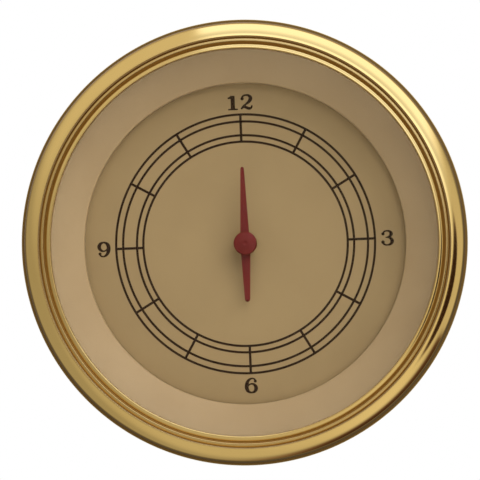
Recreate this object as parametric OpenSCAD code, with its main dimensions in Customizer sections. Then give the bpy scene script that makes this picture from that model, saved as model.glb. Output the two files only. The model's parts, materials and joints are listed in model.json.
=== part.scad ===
// Panel-mounted dashboard clock, gauge style, with a quartz stepping movement.
// Millimetres. Z is up, the dial faces -Y, the origin is on the axis at the panel face.
// Each piece is drawn with its front toward +Z, then turned to face -Y by place().

/* [Can] */
// Outside diameter of the can, for an 85.7 mm panel hole
can_d = 85; // [83:0.5:100]
// Sheet thickness of the can
can_t = 0.8; // [0.6:0.1:1.2]
// Depth of the can behind the panel face
can_depth = 46; // [46:1:60]
// Outside radius where the wall meets the back
can_corner = 4; // [2:0.5:6]
// Radius of the bend between the wall and the outturned rim
rim_bend_r = 0.8; // [0.6:0.05:1]

/* [Bezel and lens] */
// How far the bezel reaches past the can on each side
bezel_over = 3.5; // [3.3:0.1:6]
// Sheet thickness of the bezel
bezel_t = 0.8; // [0.6:0.1:1]
// Height of the straight skirt in front of the panel
skirt_h = 5.2; // [4.8:0.1:5.6]
// Width of the ledge between skirt and crown
ledge_w = 0.65; // [0.4:0.05:1]
// Width of the crowned main band
band_w = 2.9; // [2.4:0.1:4]
// Radius of the gentle crown of the main band
crown_r = 4; // [3.6:0.1:6]
// Width of the groove and bead inside the main band
bead_w = 1.35; // [1.1:0.05:2]
// Radius of the quarter-round inner lip
lip_r = 1.2; // [0.9:0.05:1.4]
// Thickness of the flat glass
lens_t = 2; // [1.5:0.1:2.4]
// Thickness of the rubber seal behind the glass
seal_t = 1.4; // [1:0.1:1.8]

/* [Trim ring and dial] */
// Sheet thickness of the trim ring
trim_t = 0.6; // [0.4:0.1:0.8]
// Radius of the inner edge of the trim ring
trim_in_r = 33.5; // [32:0.25:34]
// Depth of the sloping part of the trim ring
trim_slope = 6; // [4:0.25:6.5]
// Height of the short wall below the slope
trim_wall = 2.4; // [1.5:0.1:2.6]
// Gap between trim ring and dial that lets the lamplight out
light_gap = 0.6; // [0.4:0.1:0.8]
// Thickness of the dial plate
dial_t = 0.8; // [0.5:0.1:1.2]

/* [Hands] */
// Length of the minute hand from the axis
minute_len = 15.9; // [12:0.1:26]
// Length of the hour hand from the axis
hour_len = 12; // [9:0.1:20]
// Width of the minute hand at the hub
minute_w = 1.8; // [1.2:0.1:2.6]
// Width of the minute hand at the tip
minute_tip_w = 0.64; // [0.4:0.02:1]
// Width of the hour hand at the hub
hour_w = 1.9; // [1.2:0.1:2.8]
// Width of the hour hand at the tip
hour_tip_w = 1.06; // [0.6:0.02:1.6]
// Sheet thickness of the hands
hand_t = 0.4; // [0.3:0.05:0.6]
// Radius of the round hubs of the hands
hub_r = 2.4; // [2.3:0.05:3.2]

/* [Gears] */
// Module of every gear
gear_m = 0.4; // [0.36:0.01:0.42]
// Pressure angle of the teeth
gear_pa = 25; // [23:1:27]
// Play between two meshing teeth at the pitch circle
backlash = 0.1; // [0.08:0.01:0.14]

/* [Movement] */
// Thickness of the two movement plates
plate_t = 1.5; // [1.2:0.1:1.8]
// Clear distance between the two plates
plate_gap = 14; // [14:0.25:16]
// Clear distance between dial and front plate
motion_gap = 6.4; // [6.4:0.1:8]
// Clear distance between back plate and circuit board
board_gap = 2.4; // [2:0.1:3]
// Thickness of the circuit board
board_t = 1.6; // [1.2:0.1:2]
// Radius of the going-train arbors
arbor_r = 0.8; // [0.7:0.05:0.9]

/* [Back of the can] */
// Distance between the two mounting studs
stud_pitch = 44; // [42:0.5:46]
// Radius of the stud threads inside the can and in the nuts
stud_r = 2.4; // [2.3:0.1:2.6]
// Radius of the thinner clamp threads at the free ends of the studs
clamp_r = 2; // [1.6:0.1:2.1]
// Length of the studs outside the can
stud_len = 18; // [14:0.5:30]
// Radius of the setting knob
knob_r = 6.5; // [5:0.25:8]
// Height of the setting knob
knob_h = 7; // [5:0.25:12]
// Width of the blade terminals
blade_w = 6.3; // [4.8:0.1:6.6]
// Thickness of the blade terminals
blade_t = 0.8; // [0.5:0.1:1]
// Radius of the lamp holder neck
lamp_r = 6; // [5.5:0.1:6.4]

/* [Clearances] */
// Radial gap of a turning shaft
run_gap = 0.04; // [0.03:0.01:0.06]
// Radial gap of parts pressed or screwed together
fit_gap = 0.02; // [0.01:0.01:0.05]
// Radial gap of loosely placed sheet parts
loose_gap = 0.25; // [0.15:0.05:0.4]

/* [Hidden] */
$fn = 96;

// Radii of the can and bezel
can_r = can_d / 2;
can_in_r = can_r - can_t;
bezel_r = can_r + bezel_over;
crown_out_r = bezel_r - ledge_w;
crown_in_r = crown_out_r - band_w;
lip_out_r = crown_in_r - bead_w;
view_r = lip_out_r - lip_r;
skirt_in_r = bezel_r - bezel_t;
crown_wall_r = crown_out_r - bezel_t;
crimp_r = can_r + rim_bend_r + loose_gap;
bezel_round = 0.6;

// Stack of rims held by the bezel, from the panel forward
z_flange = bezel_t;
z_trim = z_flange + can_t;
z_seal = z_trim + trim_t;
z_lens = z_seal + seal_t;
z_glass = z_lens + lens_t;

// Arcs of the bezel crown: a tight shoulder that runs into the gentle band
shoulder_r = 1;
shoulder_a = 60;
z_shoulder = z_glass + 1;
crown_c_r = crown_out_r - shoulder_r - (crown_r - shoulder_r) * cos(shoulder_a);
z_crown_c = z_shoulder - (crown_r - shoulder_r) * sin(shoulder_a);
crown_end_a = acos((crown_in_r - crown_c_r) / crown_r);
z_groove = z_glass + lip_r + 0.4;
bead_r = 0.3 * bead_w;
bead_c_r = crown_in_r - bead_w * 0.55;
hollow_r = crown_in_r + bezel_t;
hollow_a = acos(min(0.99, (hollow_r - crown_c_r) / (crown_r - bezel_t)));

// Trim ring, dial and lamp gap
rim_out_r = crown_wall_r - loose_gap;
trim_top_r = can_in_r - 1.3;
z_slope_end = z_seal - trim_slope;
z_trim_end = z_slope_end - trim_wall;
z_dial = z_trim_end - light_gap;
z_dial_back = z_dial - dial_t;
dial_r = can_in_r - 0.4;
window_in_r = trim_in_r + trim_t + 1;
window_out_r = dial_r - 2.2;
slope_len = sqrt(pow(trim_top_r - trim_in_r, 2) + pow(trim_slope, 2));
slope_dr = trim_t * trim_slope / slope_len;
slope_dz = trim_t * (trim_top_r - trim_in_r) / slope_len;

// Levels of the hands
z_hour_hand = z_dial + 2.2;
hour_hub_t = 0.8;
z_minute_hand = z_hour_hand + hour_hub_t + 0.8;
minute_hub_t = 1.2;

// Pipes around the axis
cannon_r = arbor_r + fit_gap + 0.48;
hour_bore_r = cannon_r + run_gap;
hour_pipe_r = hour_bore_r + 0.5;
dial_hole_r = hour_pipe_r + 0.6;

// Levels of the movement
z_front = z_dial_back - motion_gap;
z_front_back = z_front - plate_t;
z_back = z_front_back - plate_gap;
z_back_back = z_back - plate_t;
z_board = z_back_back - board_gap;
z_board_back = z_board - board_t;
z_wall_in = -can_depth + can_t;
z_wall = -can_depth;

// Plate outline and pillar places
pillar_r = 2.4;
pillar_at = can_in_r - 5.4;
pillar_x = pillar_at * cos(38.3);
pillar_y = pillar_at * sin(38.3);
plate_w = 2 * (pillar_x + 3);
plate_h = 2 * (pillar_y + 3);
corner_at = [[1, 1], [-1, 1], [-1, -1], [1, -1]];
pillar_pin_r = 1.2;
pillar_pin_len = 1.6;
pillar_screw_r = 1;
pillar_screw_len = 3;
post_r = 2.2;
post_bore_r = 0.85;
dial_screw_len = 4;
screw_head_t = 0.9;
screw_slot_w = 0.4;
centre_bush_r = 2.2;
plate_round = 4;

// Tooth counts
cannon_z = 15;
minute_z = 45;
minute_pinion_z = 12;
hour_z = 48;
setting_z = 15;
centre_z = 72;
train_pinion_z = 12;
train_z = 60;
rotor_z = 12;
tooth_add = 0.8;
tooth_ded = 1.1;

// Arbor places in the plane of the plates
minute_dir = -60;
setting_dir = -120;
train_dir = 150;
rotor_dir = 40;
minute_at = polar(gear_m * (cannon_z + minute_z) / 2, minute_dir);
setting_at = minute_at + polar(gear_m * (minute_z + setting_z) / 2, setting_dir);
train_at = polar(gear_m * (centre_z + train_pinion_z) / 2, train_dir);
rotor_at = train_at + polar(gear_m * (train_z + rotor_z) / 2, rotor_dir);

// Tooth phases, so that every pair is in mesh at six o'clock
cannon_ph = 0;
minute_ph = mesh_phase(minute_dir, cannon_ph, cannon_z, minute_z);
setting_ph = mesh_phase(setting_dir, minute_ph, minute_z, setting_z);
minute_pinion_ph = 0;
hour_ph = mesh_phase(minute_dir + 180, minute_pinion_ph, minute_pinion_z, hour_z);
centre_ph = 0;
train_pinion_ph = mesh_phase(train_dir, centre_ph, centre_z, train_pinion_z);
train_ph = 0;
rotor_ph = mesh_phase(rotor_dir, train_ph, train_z, rotor_z);

// Levels of the gears
wheel_t = 1;
z_minute_wheel = z_front + 1;
z_cannon = z_front + 0.6;
cannon_teeth_t = 2;
z_hour_wheel = z_minute_wheel + wheel_t + 1.4;
z_centre_wheel = z_front_back - 2;
z_train_pinion = z_front_back - 2.4;
train_pinion_t = 1.9;
z_train_wheel = z_front_back - 5.4;
z_rotor_pinion = z_front_back - 5.8;
rotor_pinion_t = 1.8;
pivot_r = 0.5;
pivot_len = 1.2;

// Stepping motor
magnet_r = 3;
magnet_t = 2.8;
magnet_gap = 1.3;
z_magnet = z_back + magnet_gap;
stator_t = 1.2;
spacer_t = 2.1;
z_stator = z_back + spacer_t;
z_core = z_stator + stator_t;
core_t = 1.2;
core_w = 3;
core_len = 21;
pole_gap = 0.5;
pole_w = 2.9;
stator_r = magnet_r + pole_gap + pole_w;
notch_r = 1.9;
arm_w = 4.2;
spacer_r = 1.8;
core_dx = 1.1;
core_dy = 1.8;
core_a = rotor_at + [stator_r + core_dx, -stator_r - core_dy];
core_b = core_a + [core_len, 0];
arm_low = rotor_at + [0.56 * stator_r, -0.61 * stator_r];
arm_rise = 0.8;
arm_high = rotor_at + [0.56 * stator_r, arm_rise];
stator_top = [core_b[0], arm_high[1]];
bobbin_len = 14;
bobbin_r = 2.4;
flange_r = 3.6;
winding_r = 3.4;
coil_mid = (core_a + core_b) / 2;
z_coil = z_core + core_t / 2;
motor_screw_r = 0.8;

// Circuit board and terminals
board_w = 52;
board_h = 34;
board_mid_y = 1.5;
board_hole_x = 23.5;
board_hole_y = 13;
block_y = 9;
blade_x = 5;
block_h = 11;
block_t = 3;
block_neck_w = 15;
block_neck_h = 8;
rivet_r = 0.6;
rivet_head_r = 1;
rivet_head_t = 0.5;
rivet_x = block_neck_w / 2 + rivet_head_r + 0.2;
block_w = 2 * (rivet_x + rivet_head_r + 0.3);
blade_out = 8.5;
slot_gap = 0.05;
crystal_r = 1.6;
crystal_len = 7.4;
crystal_at = [-16, -6];
chip_at = [-4, -10];
chip_size = [7, 6, 1.5];
leg_pitch = 1.6;
leg_size = [0.6, 0.9, 0.6];
cap_r = 2.3;
cap_len = 8;
cap_at = [8, -8];

// Studs, setting arbor and lamp
stud_x = stud_pitch / 2;
stud_post_r = stud_r + 0.6;
spigot_r = 1.5;
washer_t = 1;
washer_w = 2.6;
nut_t = 3.2;
nut_r = 5.5;
z_nut = z_wall - washer_t - nut_t;
shaft_r = 1.5;
shaft_front_r = 1;
bush_r = 3;
bush_flange_r = 5;
bush_flange_t = 1.2;
bush_nut_t = 2;
z_knob = z_wall - bush_flange_t - 0.6 - knob_h;
lamp_y = can_in_r - lamp_r - 4.2;
lamp_cap_w = 1.5;
lamp_cap_r = lamp_r + lamp_cap_w;
lamp_cap_t = 3.5;
lamp_neck = 7;
lamp_gap = 0.15;
lug_out = 1.3;
lug_out_r = lamp_r + lug_out;
lug_slot = 2 * (lug_out_r + lamp_gap);
lug_w = 2.8;
lug_t = 1.2;
grip_w = 2;
grip_h = 4;
grip_in = 1.2;
lamp_wall = 1.4;
bulb_r = lamp_r - lamp_wall;
bulb_len = 13;
bulb_base = 4.5;
bulb_foot = 1.5;
bulb_foot_r = bulb_r - 1.2;

function polar(r, a) = [r * cos(a), r * sin(a)];

// Angle of a wheel whose teeth stand in the gaps of its mate, which lies in direction dir
function mesh_phase(dir, ph, z1, z2) = dir + 180 - (180 - (dir - ph) * z1) / z2;

// Involute function and half the angle of a tooth at radius r
function inv(a) = tan(a) * 180 / PI - a;
function half_tooth(r, z) =
  90 / z - backlash / (gear_m * z) * 90 / PI + inv(gear_pa)
  - inv(acos(min(1, gear_m * z / 2 * cos(gear_pa) / r)));

function tooth_radii(z) =
  let (p = gear_m * z / 2, base = p * cos(gear_pa), root = p - tooth_ded * gear_m,
       tip = p + tooth_add * gear_m, low = max(root, base * 1.001))
  root < base
    ? [root, low, low * 0.6 + tip * 0.4, low * 0.25 + tip * 0.75, tip]
    : [root, root * 0.65 + tip * 0.35, root * 0.3 + tip * 0.7, tip];

function tooth(z, a) =
  let (radii = tooth_radii(z), n = len(radii) - 1)
  concat(
    [for (i = [0:n]) polar(radii[i], a - half_tooth(radii[i], z))],
    [for (i = [n:-1:0]) polar(radii[i], a + half_tooth(radii[i], z))]
  );

function gear_points(z) = [for (i = [0:z - 1]) each tooth(z, i * 360 / z)];

function arc(cr, cz, r, a0, a1, n) =
  [for (i = [0:n]) [cr + r * cos(a0 + (a1 - a0) * i / n), cz + r * sin(a0 + (a1 - a0) * i / n)]];

module place() {
  rotate([90, 0, 0]) children();
}

module rod(r, z0, z1) {
  translate([0, 0, min(z0, z1)]) cylinder(r = r, h = abs(z1 - z0));
}

// Slotted screw seated at one level, with its head toward dir (1 is forward) and its tip at another
module screw(seat, dir, tip, shank_r) {
  head_r = 2 * shank_r;
  top = seat + dir * screw_head_t;
  difference() {
    union() {
      rod(head_r, seat, top);
      rod(shank_r, tip, seat + dir * 0.3);
    }
    translate([0, 0, top]) cube([3 * head_r, screw_slot_w, screw_head_t], center = true);
  }
}

module gear(z, phase, z0, t) {
  rotate(phase) translate([0, 0, z0]) linear_extrude(height = t) polygon(gear_points(z));
}

module at_corners(x, y) {
  for (c = corner_at) translate([c[0] * x, c[1] * y, 0]) children();
}

module at_studs() {
  for (s = [-1, 1]) translate([s * stud_x, 0, 0]) children();
}

module rounded_plate(w, h, r, z0, t) {
  translate([0, 0, z0]) linear_extrude(height = t) union() {
    square([w - 2 * r, h], center = true);
    square([w, h - 2 * r], center = true);
    for (c = corner_at) translate([c[0] * (w / 2 - r), c[1] * (h / 2 - r)]) circle(r);
  }
}

module bar2d(p, q, w) {
  d = q - p;
  translate(p) rotate(atan2(d[1], d[0])) translate([0, -w / 2]) square([norm(d), w]);
  translate(p) circle(w / 2);
  translate(q) circle(w / 2);
}

// Stepped bezel, crimped behind the rim of the can
module bezel() {
  color("goldenrod") place() rotate_extrude() polygon(concat(
    [[crimp_r, 0]],
    arc(bezel_r - bezel_round, bezel_round, bezel_round, -90, 0, 5),
    [[bezel_r, skirt_h], [crown_out_r, skirt_h]],
    arc(crown_out_r - shoulder_r, z_shoulder, shoulder_r, 0, shoulder_a, 6),
    arc(crown_c_r, z_crown_c, crown_r, shoulder_a + 4, crown_end_a, 9),
    [[crown_in_r, z_groove]],
    arc(bead_c_r, z_groove, bead_r, 0, 180, 8),
    [[lip_out_r, z_groove]],
    arc(lip_out_r, z_glass + 0.2, lip_r, 90, 180, 8),
    [[view_r, z_glass], [hollow_r, z_glass]],
    arc(crown_c_r, z_crown_c, crown_r - bezel_t, hollow_a, shoulder_a + 4, 5),
    [[crown_wall_r, z_shoulder + 0.1], [crown_wall_r, skirt_h - bezel_t],
     [skirt_in_r, skirt_h - bezel_t], [skirt_in_r, bezel_t], [crimp_r, bezel_t]]
  ));
}

// Flat glass
module lens() {
  color("lightcyan", 0.4) place() rod(rim_out_r, z_lens, z_glass);
}

// Rubber seal between the glass and the trim ring
module lens_seal() {
  color("dimgray") place() difference() {
    rod(rim_out_r, z_seal, z_lens);
    rod(trim_top_r + 0.2, z_seal - 1, z_lens + 1);
  }
}

// Sloping surround between glass and dial
module trim_ring() {
  color("tan") place() rotate_extrude() polygon([
    [rim_out_r, z_seal], [trim_top_r, z_seal], [trim_in_r, z_slope_end],
    [trim_in_r, z_trim_end], [trim_in_r + trim_t, z_trim_end],
    [trim_in_r + trim_t, z_slope_end - slope_dz + trim_t * 0.4],
    [trim_top_r + slope_dr, z_trim], [rim_out_r, z_trim]
  ]);
}

// Deep-drawn can with an outturned rim
module case_can() {
  color("silver") place() difference() {
    rotate_extrude() polygon(concat(
      [[0, z_wall]],
      arc(can_r - can_corner, z_wall + can_corner, can_corner, -90, 0, 8),
      arc(can_r + rim_bend_r, z_flange - rim_bend_r, rim_bend_r, 180, 90, 5),
      [[skirt_in_r - loose_gap, z_flange], [skirt_in_r - loose_gap, z_trim]],
      arc(can_r + rim_bend_r, z_flange - rim_bend_r, rim_bend_r + can_t, 90, 180, 6),
      arc(can_r - can_corner, z_wall + can_corner, can_corner - can_t, 0, -90, 8),
      [[0, z_wall_in]]
    ));
    at_studs() rod(stud_r + fit_gap, z_wall - 1, z_wall_in + 1);
    translate(setting_at) rod(bush_r + fit_gap, z_wall - 1, z_wall_in + 1);
    translate([0, lamp_y, 0]) {
      rod(lamp_r + lamp_gap, z_wall - 1, z_wall_in + 1);
      translate([0, 0, z_wall]) cube([lug_slot, lug_w + 2 * lamp_gap, 4 * can_t], center = true);
    }
    translate([-block_neck_w / 2 - 0.1, block_y - block_neck_h / 2 - 0.1, z_wall - 1])
      cube([block_neck_w + 0.2, block_neck_h + 0.2, can_t + 2]);
    for (s = [-1, 1]) translate([s * rivet_x, block_y, 0])
      rod(rivet_r + fit_gap, z_wall - 1, z_wall_in + 1);
  }
}

// Dial plate, with a window for the lamplight hidden under the trim ring
module dial() {
  color("darkkhaki") place() difference() {
    rod(dial_r, z_dial_back, z_dial);
    rod(dial_hole_r, z_dial_back - 1, z_dial + 1);
    at_corners(pillar_x, pillar_y) rod(post_bore_r, z_dial_back - 1, z_dial + 1);
    translate([0, 0, z_dial_back - 1]) rotate(65)
      rotate_extrude(angle = 50) translate([window_in_r, 0]) square([window_out_r - window_in_r, dial_t + 2]);
  }
}

module dial_screws() {
  color("silver") place() at_corners(pillar_x, pillar_y)
    screw(z_dial, 1, z_dial - dial_screw_len, post_bore_r - fit_gap);
}

module dial_posts() {
  color("khaki") place() at_corners(pillar_x, pillar_y) difference() {
    rod(post_r, z_front, z_dial_back);
    rod(post_bore_r, z_dial - dial_screw_len - 0.4, z_dial_back + 1);
    rod(pillar_pin_r + fit_gap, z_front - 1, z_front + pillar_pin_len + 0.2);
  }
}

module front_plate() {
  color("gold") place() difference() {
    rounded_plate(plate_w, plate_h, plate_round, z_front_back, plate_t);
    rod(centre_bush_r + fit_gap, z_front_back - 1, z_front + 1);
    translate(minute_at) rod(arbor_r + fit_gap, z_front_back - 1, z_front + 1);
    translate(setting_at) rod(shaft_front_r + run_gap, z_front_back - 1, z_front + 1);
    translate(train_at) rod(pivot_r + run_gap, z_front_back - 1, z_front + 1);
    translate(rotor_at) rod(pivot_r + run_gap, z_front_back - 1, z_front + 1);
    at_corners(pillar_x, pillar_y) rod(pillar_pin_r + fit_gap, z_front_back - 1, z_front + 1);
  }
}

// Bearing of the centre arbor
module centre_bush() {
  color("peru") place() difference() {
    rod(centre_bush_r, z_front_back - 0.4, z_front + 0.4);
    rod(arbor_r + run_gap, z_front_back - 1, z_front + 1);
  }
}

// Fixed post that carries the minute wheel
module minute_post() {
  color("silver") place() translate(minute_at) {
    rod(arbor_r, z_front_back, z_dial_back - 0.6);
    rod(1.3, z_dial_back - 0.7, z_dial_back - 0.3);
  }
}

module back_plate() {
  color("gold") place() difference() {
    rounded_plate(plate_w, plate_h, plate_round, z_back_back, plate_t);
    rod(pivot_r + run_gap, z_back_back - 1, z_back + 1);
    translate(setting_at) rod(shaft_front_r + run_gap, z_back_back - 1, z_back + 1);
    translate(train_at) rod(pivot_r + run_gap, z_back_back - 1, z_back + 1);
    translate(rotor_at) rod(pivot_r + run_gap, z_back_back - 1, z_back + 1);
    at_corners(pillar_x, pillar_y) rod(pillar_screw_r + fit_gap, z_back_back - 1, z_back + 1);
    at_corners(board_hole_x, board_hole_y) rod(motor_screw_r + fit_gap, z_back_back - 1, z_back + 1);
    at_studs() rod(spigot_r + fit_gap, z_back_back - 1, z_back + 1);
    for (p = [core_a, core_b]) translate(p) rod(motor_screw_r + fit_gap, z_back_back - 1, z_back + 1);
  }
}

module pillars() {
  color("khaki") place() at_corners(pillar_x, pillar_y) difference() {
    union() {
      rod(pillar_r, z_back, z_front_back);
      rod(pillar_pin_r, z_front_back - 0.5, z_front + pillar_pin_len);
    }
    rod(pillar_screw_r + fit_gap, z_back - 1, z_back + pillar_screw_len + 0.4);
  }
}

module pillar_screws() {
  color("silver") place() at_corners(pillar_x, pillar_y)
    screw(z_back_back, -1, z_back + pillar_screw_len, pillar_screw_r);
}

// Stator of the stepping motor, one plate with the rotor hole and two poles
module stator() {
  color("slategray") place() translate([0, 0, z_stator]) linear_extrude(height = stator_t)
    difference() {
      union() {
        translate(rotor_at) circle(stator_r);
        bar2d(arm_low, core_a, arm_w);
        bar2d(arm_high, stator_top, arm_w);
        bar2d(stator_top, core_b, arm_w);
      }
      translate(rotor_at) circle(magnet_r + pole_gap);
      for (a = [100, 190]) translate(rotor_at + polar(stator_r, a)) circle(notch_r);
      for (p = [core_a, core_b]) translate(p) circle(motor_screw_r + fit_gap);
    }
}

module stator_spacers() {
  color("khaki") place() for (p = [core_a, core_b]) translate(p) difference() {
    rod(spacer_r, z_back, z_stator);
    rod(motor_screw_r + fit_gap, z_back - 1, z_stator + 1);
  }
}

module stator_screws() {
  color("silver") place() for (p = [core_a, core_b]) translate(p)
    screw(z_core + core_t, 1, z_back_back, motor_screw_r);
}

module coil_core() {
  color("slategray") place() translate([0, 0, z_core]) linear_extrude(height = core_t)
    difference() {
      union() {
        translate([core_a[0], core_a[1] - core_w / 2]) square([core_b[0] - core_a[0], core_w]);
        for (p = [core_a, core_b]) translate(p) circle(arm_w / 2);
      }
      for (p = [core_a, core_b]) translate(p) circle(motor_screw_r + fit_gap);
    }
}

module along_coil() {
  translate([coil_mid[0], coil_mid[1], z_coil]) rotate([0, 90, 0]) children();
}

module coil_bobbin() {
  color("ivory") place() difference() {
    along_coil() {
      rod(bobbin_r, -bobbin_len / 2, bobbin_len / 2);
      rod(flange_r, -bobbin_len / 2, -bobbin_len / 2 + 0.8);
      rod(flange_r, bobbin_len / 2 - 0.8, bobbin_len / 2);
    }
    translate([core_a[0], core_a[1] - core_w / 2 - 0.05, z_core - 0.05])
      cube([core_b[0] - core_a[0], core_w + 0.1, core_t + 0.1]);
  }
}

module coil_winding() {
  color("sienna") place() along_coil() difference() {
    rod(winding_r, -bobbin_len / 2 + 0.9, bobbin_len / 2 - 0.9);
    rod(bobbin_r + fit_gap, -bobbin_len / 2, bobbin_len / 2);
  }
}

module circuit_board() {
  color("darkgreen") place() difference() {
    translate([0, board_mid_y, 0]) rounded_plate(board_w, board_h, 2, z_board_back, board_t);
    at_corners(board_hole_x, board_hole_y) rod(motor_screw_r + fit_gap, z_board_back - 1, z_board + 1);
    at_studs() rod(stud_post_r + 0.3, z_board_back - 1, z_board + 1);
    for (s = [-1, 1]) translate([s * blade_x, block_y, z_board_back - 1])
      translate([-blade_t / 2 - slot_gap, -blade_w / 2 - slot_gap, 0])
        cube([blade_t + 2 * slot_gap, blade_w + 2 * slot_gap, board_t + 2]);
  }
}

module board_spacers() {
  color("khaki") place() at_corners(board_hole_x, board_hole_y) difference() {
    rod(spacer_r, z_board, z_back_back);
    rod(motor_screw_r + fit_gap, z_board - 1, z_back_back + 1);
  }
}

module board_screws() {
  color("silver") place() at_corners(board_hole_x, board_hole_y)
    screw(z_board_back, -1, z_back - 0.2, motor_screw_r);
}

// Quartz crystal in its metal can, lying on the board
module crystal() {
  color("lightgray") place() translate([crystal_at[0], crystal_at[1], z_board_back - crystal_r])
    rotate([0, 90, 0]) {
      rod(crystal_r, 0, crystal_len);
      rod(crystal_r - 0.2, crystal_len, crystal_len + 0.6);
    }
}

module driver_chip() {
  leg_y = chip_size[1] / 2 + leg_size[1] / 2 - 0.2;
  color("black") place() translate([chip_at[0], chip_at[1], z_board_back]) {
    translate([0, 0, -leg_size[2] * 0.7 - chip_size[2]]) cube(chip_size);
    for (i = [0:3], s = [-1, 1])
      translate([(i + 0.5) * leg_pitch, chip_size[1] / 2 + s * leg_y - leg_size[1] / 2, -leg_size[2]])
        cube(leg_size);
  }
}

// Electrolytic capacitor lying on the board, with the crimped groove near its base
module capacitor() {
  color("midnightblue") place() translate([cap_at[0], cap_at[1], z_board_back - cap_r])
    rotate([0, 90, 0]) {
      rod(cap_r, 0, 1.2);
      rod(cap_r - 0.3, 1, 2);
      rod(cap_r, 1.8, cap_len);
    }
}

// Studs that carry the movement inside and the clamp outside
module mounting_studs() {
  color("silver") place() at_studs() {
    rod(stud_post_r, z_wall_in, z_back_back);
    rod(spigot_r, z_back_back - 1, z_back);
    rod(stud_r, z_nut - 0.2, z_wall_in + 1);
    translate([0, 0, z_nut - 0.6]) cylinder(r1 = clamp_r, r2 = stud_r, h = 0.4);
    rod(clamp_r, z_wall - stud_len + 0.6, z_nut);
    translate([0, 0, z_wall - stud_len]) cylinder(r1 = clamp_r - 0.6, r2 = clamp_r, h = 0.6);
  }
}

module stud_washers() {
  color("silver") place() at_studs() difference() {
    rod(stud_r + washer_w, z_wall - washer_t, z_wall);
    rod(stud_r + 0.15, z_wall - washer_t - 1, z_wall + 1);
  }
}

module stud_nuts() {
  color("silver") place() at_studs() difference() {
    translate([0, 0, z_nut]) cylinder(r = nut_r, h = nut_t, $fn = 6);
    rod(stud_r + fit_gap, z_nut - 1, z_wall);
  }
}

// Insulator of the two supply blades
module terminal_block() {
  color("black") place() difference() {
    translate([0, block_y, 0]) {
      rounded_plate(block_w, block_h, 1.5, z_wall - block_t, block_t);
      translate([-block_neck_w / 2, -block_neck_h / 2, z_wall - 0.1])
        cube([block_neck_w, block_neck_h, can_t + 1.4]);
    }
    for (s = [-1, 1]) {
      translate([s * blade_x, block_y, z_wall])
        cube([blade_t + 2 * slot_gap, blade_w + 2 * slot_gap, 4 * block_t], center = true);
      translate([s * rivet_x, block_y, 0]) rod(rivet_r + fit_gap, z_wall - block_t - 1, z_wall + 1);
    }
  }
}

module terminal_blades() {
  color("goldenrod") place() for (s = [-1, 1]) translate([s * blade_x, block_y, 0]) difference() {
    translate([-blade_t / 2, -blade_w / 2, z_wall - block_t - blade_out])
      cube([blade_t, blade_w, blade_out + block_t + z_board + 0.6 - z_wall]);
    translate([-5, 0, z_wall - block_t - blade_out + 3]) rotate([0, 90, 0]) cylinder(r = 0.8, h = 10);
  }
}

module terminal_rivets() {
  color("silver") place() for (s = [-1, 1]) translate([s * rivet_x, block_y, 0]) {
    rod(rivet_r, z_wall - block_t, z_wall_in);
    rod(rivet_head_r, z_wall - block_t - rivet_head_t, z_wall - block_t);
    rod(rivet_head_r, z_wall_in, z_wall_in + rivet_head_t);
  }
}

// Twist-in lamp holder with two locking lugs and a finger grip
module lamp_holder() {
  color("black") place() translate([0, lamp_y, 0]) difference() {
    union() {
      rod(lamp_cap_r, z_wall - lamp_cap_t, z_wall);
      rod(lamp_r, z_wall - 0.5, z_wall + lamp_neck);
      translate([-lug_w / 2, -lug_out_r, z_wall_in + 0.1]) cube([lug_w, 2 * lug_out_r, lug_t]);
      translate([-lamp_cap_r + grip_in, -grip_w / 2, z_wall - lamp_cap_t - grip_h])
        cube([2 * (lamp_cap_r - grip_in), grip_w, grip_h + 0.5]);
    }
    rod(bulb_foot_r, z_wall + bulb_foot, z_wall + lamp_neck + 1);
    rod(bulb_r + 0.3, z_wall + bulb_base, z_wall + lamp_neck + 1);
  }
}

module lamp_bulb() {
  color("white", 0.5) place() translate([0, lamp_y, 0]) {
    rod(bulb_foot_r - 0.1, z_wall + bulb_foot, z_wall + bulb_base + 0.5);
    rotate_extrude() polygon(concat(
      [[0, z_wall + bulb_base], [bulb_r, z_wall + bulb_base]],
      arc(0, z_wall + bulb_base + bulb_len, bulb_r, 0, 90, 8)
    ));
  }
}

// Threaded bush for the setting arbor
module setting_bush() {
  color("peru") place() translate(setting_at) difference() {
    union() {
      rod(bush_r, z_wall - 0.5, z_wall_in + bush_nut_t + 0.8);
      rod(bush_flange_r, z_wall - bush_flange_t, z_wall);
    }
    rod(shaft_r + run_gap, z_wall - 3, z_wall_in + bush_nut_t + 2);
  }
}

module bush_nut() {
  color("peru") place() translate(setting_at) difference() {
    translate([0, 0, z_wall_in]) cylinder(r = bush_r + 2, h = bush_nut_t, $fn = 6);
    rod(bush_r + fit_gap, z_wall_in - 1, z_wall_in + bush_nut_t + 1);
  }
}

// Flat outline of a tapered hand with a round tip, pointing up
module hand2d(length, w, tip_w) {
  polygon([[-w / 2, 0], [w / 2, 0], [tip_w / 2, length - tip_w / 2], [-tip_w / 2, length - tip_w / 2]]);
  translate([0, length - tip_w / 2]) circle(tip_w / 2);
}

module minute_hand() {
  color("firebrick") place() difference() {
    union() {
      translate([0, 0, z_minute_hand + 0.4]) linear_extrude(height = hand_t)
        hand2d(minute_len, minute_w, minute_tip_w);
      rod(hub_r, z_minute_hand, z_minute_hand + minute_hub_t);
    }
    rod(cannon_r + fit_gap, z_minute_hand - 1, z_minute_hand + minute_hub_t - 0.3);
    rod(arbor_r + fit_gap, z_minute_hand, z_minute_hand + minute_hub_t + 1);
  }
}

// Pinion and pipe that carry the minute hand
module cannon_pinion() {
  color("silver") place() difference() {
    union() {
      gear(cannon_z, cannon_ph, z_cannon, cannon_teeth_t);
      rod(cannon_r, z_cannon, z_minute_hand + minute_hub_t - 0.3);
    }
    rod(arbor_r + fit_gap, z_cannon - 1, z_minute_hand + 3);
  }
}

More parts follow.
